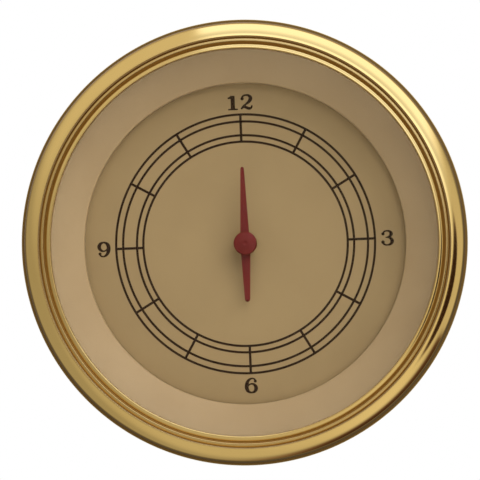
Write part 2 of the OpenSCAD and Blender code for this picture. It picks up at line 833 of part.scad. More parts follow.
module centre_arbor() {
  color("silver") place() {
    rod(arbor_r, z_back + 0.3, z_minute_hand + minute_hub_t + 0.15);
    rod(pivot_r, z_back - pivot_len, z_back + 0.5);
  }
}

module centre_wheel() {
  color("gold") place() difference() {
    union() {
      gear(centre_z, centre_ph, z_centre_wheel, wheel_t);
      rod(2.6, z_centre_wheel - 0.6, z_centre_wheel + wheel_t + 0.4);
    }
    rod(arbor_r + fit_gap, z_centre_wheel - 2, z_centre_wheel + 3);
    for (a = [45:90:315]) translate(polar(20.5 * gear_m, a))
      rod(8 * gear_m, z_centre_wheel - 1, z_centre_wheel + 2);
  }
}

// Three-armed friction spring that lets the hands slip on the centre wheel while setting
module clutch_spring() {
  color("khaki") place() difference() {
    translate([0, 0, z_centre_wheel - 0.9]) linear_extrude(height = 0.3) union() {
      circle(1.9);
      for (a = [0:120:240]) bar2d([0, 0], polar(3.8, a), 1.2);
    }
    rod(arbor_r + fit_gap, z_centre_wheel - 2, z_centre_wheel);
  }
}

module hour_hand() {
  color("firebrick") place() difference() {
    union() {
      translate([0, 0, z_hour_hand + 0.2]) rotate(180) linear_extrude(height = hand_t)
        hand2d(hour_len, hour_w, hour_tip_w);
      rod(hub_r, z_hour_hand, z_hour_hand + hour_hub_t);
    }
    rod(hour_pipe_r + fit_gap, z_hour_hand - 1, z_hour_hand + hour_hub_t + 1);
  }
}

module hour_wheel() {
  color("gold") place() difference() {
    union() {
      gear(hour_z, hour_ph, z_hour_wheel, wheel_t);
      rod(hour_pipe_r, z_hour_wheel, z_hour_hand + hour_hub_t);
    }
    rod(hour_bore_r, z_hour_wheel - 1, z_hour_hand + hour_hub_t + 1);
  }
}

module minute_wheel() {
  color("gold") place() translate(minute_at) difference() {
    gear(minute_z, minute_ph, z_minute_wheel, wheel_t);
    rod(1.5 + fit_gap, z_minute_wheel - 1, z_minute_wheel + 2);
    for (a = [0:72:288]) translate(polar(13 * gear_m, a))
      rod(4.5 * gear_m, z_minute_wheel - 1, z_minute_wheel + 2);
  }
}

module minute_pinion() {
  color("silver") place() translate(minute_at) difference() {
    union() {
      gear(minute_pinion_z, minute_pinion_ph, z_minute_wheel + wheel_t, 3.2);
      rod(1.5, z_minute_wheel - 0.4, z_minute_wheel + wheel_t + 0.5);
    }
    rod(arbor_r + run_gap, z_minute_wheel - 1, z_minute_wheel + 6);
  }
}

module setting_pinion() {
  color("silver") place() translate(setting_at) difference() {
    gear(setting_z, setting_ph, z_minute_wheel - 0.3, wheel_t + 0.6);
    rod(shaft_front_r + fit_gap, z_minute_wheel - 1, z_minute_wheel + 3);
  }
}

module setting_arbor() {
  color("silver") place() translate(setting_at) {
    rod(shaft_front_r, z_board - 0.5, z_minute_wheel + wheel_t + 0.6);
    rod(shaft_r, z_knob + 1.5, z_board - 0.3);
  }
}

module setting_knob() {
  color("black") place() translate(setting_at) difference() {
    union() {
      rod(knob_r, z_knob + 0.6, z_knob + knob_h - 1);
      translate([0, 0, z_knob]) cylinder(r1 = knob_r - 0.6, r2 = knob_r, h = 0.6);
      rod(knob_r - 1.6, z_knob + knob_h - 1.5, z_knob + knob_h);
    }
    rod(shaft_r + fit_gap, z_knob + 1.5, z_knob + knob_h + 1);
    for (a = [0:15:345]) translate(polar(knob_r + 0.35, a)) rod(0.6, z_knob - 1, z_knob + knob_h - 0.9);
  }
}

module train_wheel() {
  color("ivory") place() translate(train_at) difference() {
    union() {
      gear(train_z, train_ph, z_train_wheel, wheel_t);
      rod(2.4, z_train_wheel - 0.5, z_train_wheel + wheel_t + 0.5);
    }
    rod(arbor_r + fit_gap, z_train_wheel - 2, z_train_wheel + 3);
  }
}

module train_arbor() {
  color("silver") place() translate(train_at) {
    gear(train_pinion_z, train_pinion_ph, z_train_pinion, train_pinion_t);
    rod(arbor_r, z_back + 0.3, z_front_back - 0.3);
    rod(pivot_r, z_back - pivot_len, z_front_back + pivot_len);
  }
}

module rotor_arbor() {
  color("ivory") place() translate(rotor_at) {
    gear(rotor_z, rotor_ph, z_rotor_pinion, rotor_pinion_t);
    rod(arbor_r, z_back + 0.3, z_front_back - 0.3);
    rod(pivot_r, z_back - pivot_len, z_front_back + pivot_len);
  }
}

module rotor_magnet() {
  color("dimgray") place() translate(rotor_at) difference() {
    rod(magnet_r, z_magnet, z_magnet + magnet_t);
    rod(arbor_r + fit_gap, z_magnet - 1, z_magnet + magnet_t + 1);
  }
}

bezel();
lens();
lens_seal();
trim_ring();
case_can();
dial();
dial_screws();
dial_posts();
front_plate();
centre_bush();
minute_post();
back_plate();
pillars();
pillar_screws();
stator();
stator_spacers();
stator_screws();
coil_core();
coil_bobbin();
coil_winding();
circuit_board();
board_spacers();
board_screws();
crystal();
driver_chip();
capacitor();
mounting_studs();
stud_washers();
stud_nuts();
terminal_block();
terminal_blades();
terminal_rivets();
lamp_holder();
lamp_bulb();
setting_bush();
bush_nut();
minute_hand();
cannon_pinion();
centre_arbor();
centre_wheel();
clutch_spring();
hour_hand();
hour_wheel();
minute_wheel();
minute_pinion();
setting_pinion();
setting_arbor();
setting_knob();
train_wheel();
train_arbor();
rotor_arbor();
rotor_magnet();
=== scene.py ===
import json
import math

import bmesh
import bpy
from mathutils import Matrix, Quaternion, Vector


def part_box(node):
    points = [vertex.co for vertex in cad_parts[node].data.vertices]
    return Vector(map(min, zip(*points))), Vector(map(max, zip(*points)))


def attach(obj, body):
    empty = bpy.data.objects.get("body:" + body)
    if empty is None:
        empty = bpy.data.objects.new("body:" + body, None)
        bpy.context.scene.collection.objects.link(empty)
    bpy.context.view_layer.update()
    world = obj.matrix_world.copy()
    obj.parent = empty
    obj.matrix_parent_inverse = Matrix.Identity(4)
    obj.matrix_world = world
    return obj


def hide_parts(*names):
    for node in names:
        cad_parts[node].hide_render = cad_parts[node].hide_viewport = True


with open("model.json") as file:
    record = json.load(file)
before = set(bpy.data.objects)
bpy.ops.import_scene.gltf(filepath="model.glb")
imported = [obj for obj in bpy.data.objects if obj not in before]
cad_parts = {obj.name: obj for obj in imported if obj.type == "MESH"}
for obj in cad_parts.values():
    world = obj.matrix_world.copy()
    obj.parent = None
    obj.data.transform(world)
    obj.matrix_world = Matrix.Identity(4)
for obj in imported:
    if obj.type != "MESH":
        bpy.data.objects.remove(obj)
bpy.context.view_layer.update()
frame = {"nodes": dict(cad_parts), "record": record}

# Lengths are in millimetres, except in the studio. "Forward" is from the panel face to the viewer, along -Y.
MM = 0.001
# A point this near to an end belongs to it
NEAR = 0.1
# Points closer than this, in metres, become one
MERGE = 1e-7

# Steps of a full turn, from the large rings down to the threads
TURN_STEPS = 256
THIN_STEPS = 192
LAMP_STEPS = 128
HUB_STEPS = 96
STUD_STEPS = 64
HOLE_STEPS = 48
THREAD_STEPS = 36

# Half widths of a thread's foot and crest, with the pitch as 1
THREAD_FOOT, THREAD_CREST = 0.46, 0.08

# Hands
BLADE_ROOT = 1.95
MINUTE_LENGTH = 15.9
HOUR_LENGTH = 12.2

# Dial and its print
HOURS = 12
DIAL_FRONT = -6.8
PRINT_PROUD = 0.02
CIRCLE_RADII = (27.07, 25.6, 22.7, 21.37)
CIRCLE_LINE = 0.48
HOUR_LINE = 0.52
NUMBER_HEIGHT = 3.22
NUMBER_RADIUS = 29.65
NUMBER_WEIGHT = 1.09
NUMBER_SPREAD = 1.04
NUMBER_FLATNESS = 8 * PRINT_PROUD
NUMBER_GRAIN = 0.014
FIGURE_GAP = 0.15

# Places of the pieces on the back of the can, as (x, z), some of their sizes, and the radii of holes
STUD_AT = (22.0, 0.0)
KNOB_AT = (0.0, -20.785)
LAMP_AT = (0.0, 31.5)
BLOCK_Z = 9.0
BLOCK_HALF_WIDTH, BLOCK_HALF_HEIGHT = 10.0, 5.5
TAB_X = 5.0
TAB_HALF_THICKNESS, TAB_HALF_WIDTH = 0.4, 3.15
TAB_END_Y = 57.5
TAB_HOLE, TAB_HOLE_Y = 0.8, 54.5
RIVET_X = 8.7
GRIP_HALF_WIDTH, GRIP_END_Y = 6.3, 53.5
NUT_CORNER, NUT_SEAT_Y, NUT_HEIGHT = 5.5, 47.0, 3.2
STUD_HOLE = 2.42
BUSH_HOLE = 3.02
LAMP_HOLE = 6.15
RIVET_HOLE = 0.62

# Setting knob
KNOB_RADIUS = 6.5
KNOB_END_RADIUS = 5.9
KNOB_BOSS_RADIUS = 4.9
KNOB_END_Y = 54.8
KNOB_BORE = 1.52
KNOB_POINTS = 192
FLUTES = 24
# Radii of a flute's points, from its middle to its side
FLUTE_RADII = (6.25, 6.29, 6.436)


# ---------------------------------------------------------------- modelling

def only(*pieces):
    """Leaves these pieces selected, the first one active."""
    bpy.ops.object.select_all(action="DESELECT")
    for piece in pieces:
        piece.select_set(True)
    bpy.context.view_layer.objects.active = pieces[0]


def start(name):
    """Names the primitive just added and puts its place into its mesh."""
    piece = bpy.context.object
    piece.name = piece.data.name = name
    bpy.ops.object.transform_apply(location=True, rotation=True, scale=True)
    return piece


def edit(piece):
    """Opens a piece in edit mode, with all its points selected."""
    only(piece)
    bpy.ops.object.mode_set(mode="EDIT")
    bpy.ops.mesh.select_mode(type="VERT")
    bpy.ops.mesh.select_all(action="SELECT")


def close_up():
    """Merges doubles, turns the faces outward and leaves edit mode."""
    bpy.ops.mesh.select_all(action="SELECT")
    bpy.ops.mesh.remove_doubles(threshold=MERGE)
    bpy.ops.mesh.normals_make_consistent(inside=False)
    bpy.ops.object.mode_set(mode="OBJECT")


def pick(piece, kind, test):
    """Selects, in edit mode, each VERT or EDGE whose points all pass the test (x, y, z)."""
    bpy.ops.mesh.select_mode(type=kind)
    bpy.ops.mesh.select_all(action="DESELECT")
    mesh = bmesh.from_edit_mesh(piece.data)
    for item in {"VERT": mesh.verts, "EDGE": mesh.edges}[kind]:
        points = [item] if kind == "VERT" else item.verts
        item.select_set(all(test(*(p.co / MM)) for p in points))
    bmesh.update_edit_mesh(piece.data)


def round_corners(piece, test, width, segments=6):
    """Rounds the edges whose points pass the test."""
    edit(piece)
    pick(piece, "EDGE", test)
    bpy.ops.mesh.bevel(offset=width * MM, segments=segments, affect="EDGES")
    close_up()


def finish_edges(piece, width, segments=3, angle=30):
    """Rounds every edge sharper than the angle."""
    only(piece)
    rounding = piece.modifiers.new("edge_round", "BEVEL")
    rounding.width = width * MM
    rounding.segments = segments
    rounding.limit_method = "ANGLE"
    rounding.angle_limit = math.radians(angle)
    bpy.ops.object.modifier_apply(modifier=rounding.name)
    return piece


def smooth(piece, angle):
    """Smooth shading across edges blunter than the angle, led by the larger faces."""
    only(piece)
    bpy.ops.object.shade_smooth_by_angle(angle=math.radians(angle))
    even = piece.modifiers.new("even_shading", "WEIGHTED_NORMAL")
    even.keep_sharp = True
    bpy.ops.object.modifier_apply(modifier=even.name)


def combine(piece, other, operation):
    """UNION, DIFFERENCE or INTERSECT of two pieces. The second one is used up."""
    only(piece)
    shape = piece.modifiers.new("shape", "BOOLEAN")
    shape.operation = operation
    shape.solver = "EXACT"
    shape.object = other
    bpy.ops.object.modifier_apply(modifier=shape.name)
    only(other)
    bpy.ops.object.delete()
    only(piece)
    return piece


def joined(name, pieces):
    """One piece made of several that lie side by side."""
    only(*pieces)
    bpy.ops.object.join()
    piece = bpy.context.object
    piece.name = piece.data.name = name
    return piece


def move(piece, shift):
    """Moves a piece by (x, y, z)."""
    edit(piece)
    bpy.ops.transform.translate(value=Vector(shift) * MM)
    bpy.ops.object.mode_set(mode="OBJECT")


def turn(piece, angle, axis):
    """Turns a piece about an axis of the frame."""
    edit(piece)
    bpy.ops.transform.rotate(value=angle, orient_axis=axis, center_override=(0, 0, 0))
    close_up()


def copy_of(piece, name, shift=(0, 0, 0)):
    """A copy with its own mesh, moved by (x, y, z)."""
    only(piece)
    bpy.ops.object.duplicate(linked=False)
    copy = bpy.context.object
    copy.name = copy.data.name = name
    move(copy, shift)
    return copy


def arc(centre, radius, first, last, steps):
    """Points of an arc in a section, with angles in degrees from the outward direction."""
    turns = [math.radians(first + (last - first) * i / steps) for i in range(steps + 1)]
    return [(centre[0] + radius * math.cos(a), centre[1] + radius * math.sin(a)) for a in turns]


def drawn(name, points, ring):
    """A line through points (x, y, z), open or closed to a ring, left selected in edit mode."""
    points = [Vector(point) * MM for point in points]
    bpy.ops.mesh.primitive_plane_add(size=MM)
    piece = start(name)
    edit(piece)
    bpy.ops.mesh.merge(type="CENTER")
    bpy.ops.transform.translate(value=points[0])
    following = points[1:] + points[:1] if ring else points[1:]
    for here, there in zip(points, following):
        bpy.ops.mesh.extrude_vertices_move(TRANSFORM_OT_translate={"value": there - here})
    bpy.ops.mesh.select_all(action="SELECT")
    return piece


def turned(name, section, at=(0.0, 0.0), ring=True, steps=TURN_STEPS):
    """A piece turned about a line along Y through at. The section is a list of (radius, forward)."""
    piece = drawn(name, [(at[0] + r, -f, at[1]) for r, f in section], ring)
    axis_at = (at[0] * MM, 0.0, at[1] * MM)
    bpy.ops.mesh.spin(steps=steps, angle=math.tau, center=axis_at, axis=(0, 1, 0))
    close_up()
    return piece


def bar(name, low, high):
    """A straight-sided blank between two corners (x, y, z)."""
    low, high = Vector(low) * MM, Vector(high) * MM
    bpy.ops.mesh.primitive_cube_add(size=1, location=(low + high) / 2, scale=high - low)
    return start(name)


def thread_ridge(at, radius, root, pitch, first, last):
    """A screw ridge from one forward level to another, closed at both ends."""
    foot, crest = THREAD_FOOT * pitch, THREAD_CREST * pitch
    outline = [(root, -foot), (radius, -crest), (radius, crest), (root, foot)]
    ridge = drawn("thread_ridge", [(r, -first + y, 0) for r, y in outline], ring=True)
    bpy.ops.mesh.remove_doubles(threshold=MERGE)
    bpy.ops.object.mode_set(mode="OBJECT")
    screw = ridge.modifiers.new("thread", "SCREW")
    screw.axis = "Y"
    screw.angle = math.tau
    screw.screw_offset = pitch * MM
    screw.iterations = int((first - last) / pitch)
    screw.steps = screw.render_steps = THREAD_STEPS
    bpy.ops.object.modifier_apply(modifier=screw.name)
    edit(ridge)
    bpy.ops.mesh.remove_doubles(threshold=MERGE)
    bpy.ops.mesh.fill_holes(sides=0)
    bpy.ops.transform.translate(value=Vector((at[0], 0, at[1])) * MM)
    close_up()
    return ridge


def dress(piece, slot, body, *nodes, paint=None, smooth_angle=32):
    """Gives a piece the finish of its slot in the record or a paint of its own, smooth shading and the body
    that it rides on, and hides the nodes that it stands for."""
    piece.data.materials.clear()
    piece.data.materials.append(paint or FINISHES[slot])
    smooth(piece, smooth_angle)
    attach(piece, body)
    if nodes:
        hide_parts(*nodes)


def dress_pair(right, left_name, x, slot, node):
    """Dresses a piece that stands x to the right of the middle, and its copy as far to the left."""
    for piece in (right, copy_of(right, left_name, (-2 * x, 0, 0))):
        dress(piece, slot, "clock_case", node)


# ---------------------------------------------------------------- finishes

WHITE = (1, 1, 1)
NOISE_SPAN = (0.3, 0.7)


def opaque(colour):
    """A colour with its alpha."""
    return (*colour, 1)


class Shading:
    """The nodes of a material, group or world, with short ways to add the kinds that repeat."""

    def __init__(self, tree):
        self.nodes, self.link = tree.nodes, tree.links.new

    def feed(self, socket, given):
        """Links a socket to another, or sets it to a constant."""
        if isinstance(given, bpy.types.NodeSocket):
            self.link(given, socket)
        else:
            socket.default_value = given

    def place(self):
        """Where a point lies on its piece."""
        return self.nodes.new("ShaderNodeTexCoord").outputs["Object"]

    def math(self, operation, *given, clamp=False):
        """A sum, product or the like of sockets and constants."""
        node = self.nodes.new("ShaderNodeMath")
        node.operation = operation
        node.use_clamp = clamp
        for socket, value in zip(node.inputs, given):
            self.feed(socket, value)
        return node.outputs[0]

    def mix(self, share, first, second, kind="FLOAT"):
        """A mix of two values or two colours (RGBA)."""
        node = self.nodes.new("ShaderNodeMix")
        node.data_type = kind
        for name, value in (("Factor", share), ("A", first), ("B", second)):
            self.feed(node.inputs[name], value)
        return node.outputs["Result"]

    def map(self, value, source=(0.0, 1.0), target=(0.0, 1.0), interpolation="LINEAR"):
        """A value carried from one range to another, and held at its ends."""
        node = self.nodes.new("ShaderNodeMapRange")
        node.interpolation_type = interpolation
        self.link(value, node.inputs["Value"])
        node.inputs["From Min"].default_value, node.inputs["From Max"].default_value = source
        node.inputs["To Min"].default_value, node.inputs["To Max"].default_value = target
        return node.outputs["Result"]

    def radius(self, place):
        """Distance of a place from the line along Y."""
        flat = self.nodes.new("ShaderNodeVectorMath")
        flat.operation = "MULTIPLY"
        flat.inputs[1].default_value = (1, 0, 1)
        length = self.nodes.new("ShaderNodeVectorMath")
        length.operation = "LENGTH"
        self.link(place, flat.inputs[0])
        self.link(flat.outputs[0], length.inputs[0])
        return length.outputs["Value"]

    def group(self, tree, place, scales):
        """One of the two groups below, with its scales by name."""
        node = self.nodes.new("ShaderNodeGroup")
        node.node_tree = tree
        self.link(place, node.inputs["Place"])
        for name, scale in scales.items():
            node.inputs[name].default_value = scale
        return node

    def relief(self, shader, height, strength, depth):
        """Bumps a shader's surface by a height."""
        bump = self.nodes.new("ShaderNodeBump")
        bump.inputs["Strength"].default_value = strength
        bump.inputs["Distance"].default_value = depth * MM
        self.link(height, bump.inputs["Height"])
        self.link(bump.outputs["Normal"], shader.inputs["Normal"])


def new_group(name, inputs, outputs):
    """An empty group with inputs (label, kind, value) and value outputs, with its nodes and inner sockets."""
    group = bpy.data.node_groups.new(name, "ShaderNodeTree")
    for label, kind, value in inputs:
        socket = group.interface.new_socket(label, in_out="INPUT", socket_type=kind)
        socket.default_value = value
    for label in outputs:
        group.interface.new_socket(label, in_out="OUTPUT", socket_type="NodeSocketFloat")
    given, out = group.nodes.new("NodeGroupInput").outputs, group.nodes.new("NodeGroupOutput").inputs
    return group, Shading(group), given, out


def lathe_lines_group():
    """Fine rings left by turning, around a line along Y."""
    group, shading, given, out = new_group("lathe_lines", [
        ("Place", "NodeSocketVector", (0, 0, 0)), ("Fineness", "NodeSocketFloat", 9000.0)], ["Lines"])
    split = shading.nodes.new("ShaderNodeSeparateXYZ")
    shading.link(given["Place"], split.inputs[0])
    # The rings count outward on a face, and along Y on a side
    along = shading.math("MULTIPLY_ADD", split.outputs["Y"], 0.8, shading.radius(given["Place"]))
    noise = shading.nodes.new("ShaderNodeTexNoise")
    noise.noise_dimensions = "1D"
    noise.inputs["Scale"].default_value = 1.0
    noise.inputs["Detail"].default_value = 3.0
    shading.link(shading.math("MULTIPLY", along, given["Fineness"]), noise.inputs["W"])
    shading.link(noise.outputs["Fac"], out["Lines"])
    return group


def surface_cloud_group():
    """Slow changes of tone and a fine speck, for paint, plastic and plate alike."""
    group, shading, given, out = new_group("surface_cloud", [
        ("Place", "NodeSocketVector", (0, 0, 0)), ("Cloud Scale", "NodeSocketFloat", 60.0),
        ("Speck Scale", "NodeSocketFloat", 2500.0)], ["Cloud", "Speck"])
    for label, detail in (("Cloud", 4.0), ("Speck", 2.0)):
        noise = shading.nodes.new("ShaderNodeTexNoise")
        noise.inputs["Detail"].default_value = detail
        shading.link(given["Place"], noise.inputs["Vector"])
        shading.link(given[label + " Scale"], noise.inputs["Scale"])
        shading.link(shading.map(noise.outputs["Fac"], NOISE_SPAN), out[label])
    return group


LATHE_LINES = lathe_lines_group()
SURFACE_CLOUD = surface_cloud_group()


def blank_material(name):
    """A new material with its nodes and its shader."""
    material = bpy.data.materials.new(name)
    material.use_nodes = True
    shading = Shading(material.node_tree)
    return material, shading, shading.nodes["Principled BSDF"]


def finish(name, light, dark, rough, metallic=0.0, bump=0.05, depth=0.01, cloud=60.0, speck=2500.0,
           lines=None, specular=0.5, coat=0.0):
    """A surface between a light and a dark tone, with roughness from its cloud or its lathe lines."""
    material, shading, shader = blank_material(name)
    place = shading.place()
    cloudy = shading.group(SURFACE_CLOUD, place, {"Cloud Scale": cloud, "Speck Scale": speck})
    tone, height = cloudy.outputs["Cloud"], cloudy.outputs["Speck"]
    if lines:
        height = shading.group(LATHE_LINES, place, {"Fineness": lines}).outputs["Lines"]
        tone = shading.mix(0.5, tone, height)
    shading.link(shading.mix(tone, opaque(dark), opaque(light), "RGBA"), shader.inputs["Base Color"])
    shading.link(shading.map(tone, target=rough), shader.inputs["Roughness"])
    shading.relief(shader, height, bump, depth)
    shader.inputs["Metallic"].default_value = metallic
    shader.inputs["Specular IOR Level"].default_value = specular
    shader.inputs["Coat Weight"].default_value = coat
    return material


def tarnish_and_painted_shade(material, places, brown, dull):
    """Browns and dulls a finish at some radii, as (radius, share), as tarnish and painted shade."""
    shading = Shading(material.node_tree)
    shader = shading.nodes["Principled BSDF"]
    clean = shader.inputs["Base Color"].links[0].from_socket
    bright = shader.inputs["Roughness"].links[0].from_socket
    first, last = places[0][0], places[-1][0]
    ramp = shading.nodes.new("ShaderNodeValToRGB")
    stops = ramp.color_ramp.elements
    while len(stops) < len(places):
        stops.new(0.5)
    for stop, (radius, share) in zip(stops, places):
        stop.position = (radius - first) / (last - first)
        stop.color = opaque((share, share, share))
    shading.link(shading.map(shading.radius(shading.place()), (first * MM, last * MM)), ramp.inputs["Fac"])
    share = ramp.outputs["Color"]
    shading.link(shading.mix(share, clean, opaque(brown), "RGBA"), shader.inputs["Base Color"])
    shading.link(shading.mix(share, bright, dull), shader.inputs["Roughness"])


def clear_glass(name, tint, reflection):
    """Clear glass that lets lamp light through to the dial."""
    material, shading, shader = blank_material(name)
    shader.inputs["Base Color"].default_value = opaque(tint)
    shader.inputs["Transmission Weight"].default_value = 1.0
    shader.inputs["Roughness"].default_value = 0.0
    shader.inputs["IOR"].default_value = 1.45
    shader.inputs["Specular Tint"].default_value = opaque(reflection)
    cloudy = shading.group(SURFACE_CLOUD, shading.place(), {"Cloud Scale": 25.0})
    shading.relief(shader, cloudy.outputs["Cloud"], strength=0.02, depth=0.002)
    ray = shading.nodes.new("ShaderNodeLightPath").outputs
    passing = shading.math("MAXIMUM", ray["Is Shadow Ray"], ray["Is Diffuse Ray"])
    open_way = shading.nodes.new("ShaderNodeBsdfTransparent")
    mix = shading.nodes.new("ShaderNodeMixShader")
    for socket, given in zip(mix.inputs, (passing, shader.outputs[0], open_way.outputs[0])):
        shading.link(given, socket)
    shading.link(mix.outputs[0], shading.nodes["Material Output"].inputs["Surface"])
    return material


def gold_plate():
    """Turned gold plate, browned in the bezel's grooves by tarnish and painted shade, and at its rim by
    painted shade.
    """
    plate = finish("turned_gold_plate", (0.84, 0.58, 0.20), (0.74, 0.49, 0.15), (0.07, 0.13), metallic=1.0,
                   bump=0.03, depth=0.003, cloud=45.0, lines=9000.0)
    # In the grooves and at the lip's edges the browning is partly tarnish and partly painted shade
    grooves = [(39.0, 0.7), (39.95, 0.6), (40.12, 0.2), (40.4, 0.1), (40.9, 0.25), (41.1, 0.75),
               (41.34, 0.75), (41.48, 0.55), (41.75, 0.4), (42.05, 0.5), (42.22, 0.85), (42.42, 0.85),
               (42.5, 0.2), (42.6, 0.0)]
    # The dark outline at the rim is painted shade of the ledge, browned and dulled
    rim = [(44.85, 0.0), (45.05, 0.65), (45.25, 1.0), (45.85, 1.0), (45.98, 0.25), (46.5, 0.1)]
    tarnish_and_painted_shade(plate, grooves, brown=(0.33, 0.19, 0.068), dull=0.40)
    tarnish_and_painted_shade(plate, rim, brown=(0.20, 0.11, 0.028), dull=0.40)
    return plate


FINISHES = {
    "gold_bezel": gold_plate(),
    "trim_tan": finish("satin_tan_paint", (0.46, 0.314, 0.154), (0.427, 0.286, 0.136), (0.42, 0.52),
                       bump=0.10, depth=0.006, cloud=70.0, speck=3200.0),
    "dial_tan": finish("matt_khaki_paint", (0.362, 0.245, 0.106), (0.335, 0.224, 0.094), (0.62, 0.74),
                       bump=0.12, depth=0.006, cloud=80.0, speck=3600.0, specular=0.25),
    "hand_red": finish("satin_red_paint", (0.142, 0.007, 0.004), (0.112, 0.005, 0.003), (0.38, 0.5),
                       bump=0.04, depth=0.004, cloud=300.0, speck=4000.0, specular=0.2),
    "seal_rubber": finish("black_seal_rubber", (0.045, 0.044, 0.043), (0.03, 0.03, 0.03), (0.7, 0.85),
                          bump=0.2, cloud=120.0),
    "can_steel": finish("dull_zinc_plate", (0.60, 0.60, 0.585), (0.46, 0.46, 0.45), (0.30, 0.46),
                        metallic=1.0, bump=0.10, depth=0.008, cloud=70.0, lines=2600.0),
    "brass": finish("plain_brass", (0.76, 0.57, 0.25), (0.66, 0.47, 0.18), (0.28, 0.38), metallic=1.0,
                    cloud=90.0),
    "steel": finish("bright_zinc_plate", (0.66, 0.66, 0.65), (0.48, 0.48, 0.475), (0.20, 0.34), metallic=1.0,
                    bump=0.06, cloud=240.0),
    "spring_bronze": finish("spring_bronze_strip", (0.68, 0.46, 0.23), (0.58, 0.37, 0.17), (0.3, 0.4),
                            metallic=1.0, cloud=150.0),
    "soft_iron": finish("dull_soft_iron", (0.42, 0.43, 0.45), (0.33, 0.34, 0.36), (0.42, 0.55), metallic=1.0,
                        cloud=140.0),
    "copper_wire": finish("lacquered_copper", (0.60, 0.25, 0.10), (0.46, 0.17, 0.06), (0.25, 0.36),
                          metallic=1.0, cloud=260.0, coat=0.4),
    "acetal": finish("natural_acetal", (0.86, 0.84, 0.78), (0.80, 0.77, 0.70), (0.4, 0.5), cloud=110.0),
    "ferrite": finish("sintered_magnet", (0.12, 0.12, 0.13), (0.08, 0.08, 0.085), (0.5, 0.62), bump=0.15,
                      cloud=260.0),
    "board_green": finish("lacquered_board", (0.055, 0.21, 0.095), (0.04, 0.16, 0.07), (0.28, 0.4),
                          cloud=120.0),
    "black_plastic": finish("black_moulded_plastic", (0.034, 0.034, 0.035), (0.024, 0.024, 0.025),
                            (0.4, 0.54), bump=0.16, cloud=130.0, speck=3400.0),
    "blade_brass": finish("tinned_brass", (0.76, 0.69, 0.48), (0.66, 0.58, 0.38), (0.26, 0.38), metallic=1.0,
                          cloud=180.0),
    "lens_glass": clear_glass("clear_lens_glass", (0.99, 0.995, 0.99), (0.35, 0.27, 0.12)),
    "bulb_glass": clear_glass("clear_bulb_glass", (0.98, 0.98, 0.97), WHITE),
}
PRINT_INK = finish("black_brown_ink", (0.024, 0.009, 0.002), (0.016, 0.006, 0.0015), (0.5, 0.62), bump=0.08,
                   depth=0.004, cloud=400.0, speck=5000.0, specular=0.12)

for part in frame["record"]["subparts"]:
    frame["nodes"][part["node"]].material_slots[0].material = FINISHES[part["material_slot"]]


# ---------------------------------------------------------------- front pieces

# From the back round the rim: skirt, ledge, crown, groove, bead, groove, lip, and back along the inside
bezel_section = (
    [(43.55, 0.0)] + arc((45.4, 0.6), 0.6, -90, 0, 6)
    + [(46.0, 5.2), (45.35, 5.2)]
    + arc((44.35, 6.4), 1.0, 0, 60, 10) + arc((42.05, 2.416), 5.6, 61.5, 85.9, 22)
    + [(42.45, 7.12), (42.2, 7.12)]
    + arc((41.5, 6.4), 1.1, 51, 87, 9) + arc((41.55, 7.32), 0.18, 100, 180, 6)
    + [(41.37, 7.0), (41.12, 6.64)]
    + arc((40.1, 5.3), 1.7, 54, 87, 9) + arc((40.19, 6.71), 0.29, 97, 180, 7)
    + [(39.9, 5.6), (43.25, 5.6)] + arc((42.85, 4.0), 3.2, 82.8, 64, 6)
    + [(44.55, 6.7), (44.55, 4.4), (45.2, 4.4), (45.2, 0.8), (43.55, 0.8)])
bezel_ring = finish_edges(turned("bezel_ring", bezel_section), 0.05, segments=2)
dress(bezel_ring, "gold_bezel", "clock_case", "bezel")

pane_section = [(0, 3.6), (44.3, 3.6), (44.3, 5.6), (0, 5.6)]
lens_pane = finish_edges(turned("lens_pane", pane_section, ring=False, steps=THIN_STEPS), 0.25)
dress(lens_pane, "lens_glass", "clock_case", "lens", smooth_angle=20)

trim_section = [(44.3, 2.2), (40.4, 2.2), (33.5, -3.8), (33.5, -6.2), (34.1, -6.2), (34.1, -4.01),
                (40.79, 1.6), (44.3, 1.6)]
trim_cone = finish_edges(turned("trim_cone", trim_section), 0.22, angle=20)
dress(trim_cone, "trim_tan", "clock_case", "trim_ring")


def blade(name, length, root_w, tip_w, low, high):
    """A tapered hand blade with a rounded tip, pointing up."""
    def at_tip(x, y, z):
        return z > length - NEAR

    piece = bar(name, (-root_w / 2, -high, BLADE_ROOT), (root_w / 2, -low, length))
    edit(piece)
    pick(piece, "VERT", at_tip)
    bpy.ops.transform.resize(value=(tip_w / root_w, 1, 1))
    close_up()
    round_corners(piece, at_tip, 0.49 * tip_w)
    return finish_edges(piece, 0.07, segments=2)


minute_hub = turned("minute_hand_red", [
    (0, -1.6), (0.82, -1.6), (0.82, -2.1), (1.32, -2.1), (1.32, -3.0), (2.32, -3.0), (2.4, -2.92),
    *arc((2.1, -2.0), 0.3, 0, 75, 5), (1.5, -1.6), (0.8, -1.46), (0.5, -1.42), (0.42, -1.45),
    (0.3, -1.52), (0, -1.55)], ring=False, steps=HUB_STEPS)
minute_blade = blade("minute_blade", MINUTE_LENGTH, root_w=1.84, tip_w=0.70, low=-2.6, high=-2.2)
dress(combine(minute_hub, minute_blade, "UNION"), "hand_red", "minute", "minute_hand")

hour_hub = turned("hour_hand_red", [
    (1.86, -4.6), (2.32, -4.6), (2.4, -4.52), *arc((2.2, -4.0), 0.2, 0, 90, 4), (1.86, -3.8)],
    steps=HUB_STEPS)
hour_blade = blade("hour_blade", HOUR_LENGTH, root_w=1.96, tip_w=1.08, low=-4.4, high=-4.0)
turn(hour_blade, math.pi, "Y")
dress(combine(hour_hub, hour_blade, "UNION"), "hand_red", "hour", "hour_hand")


# ---------------------------------------------------------------- print on the dial

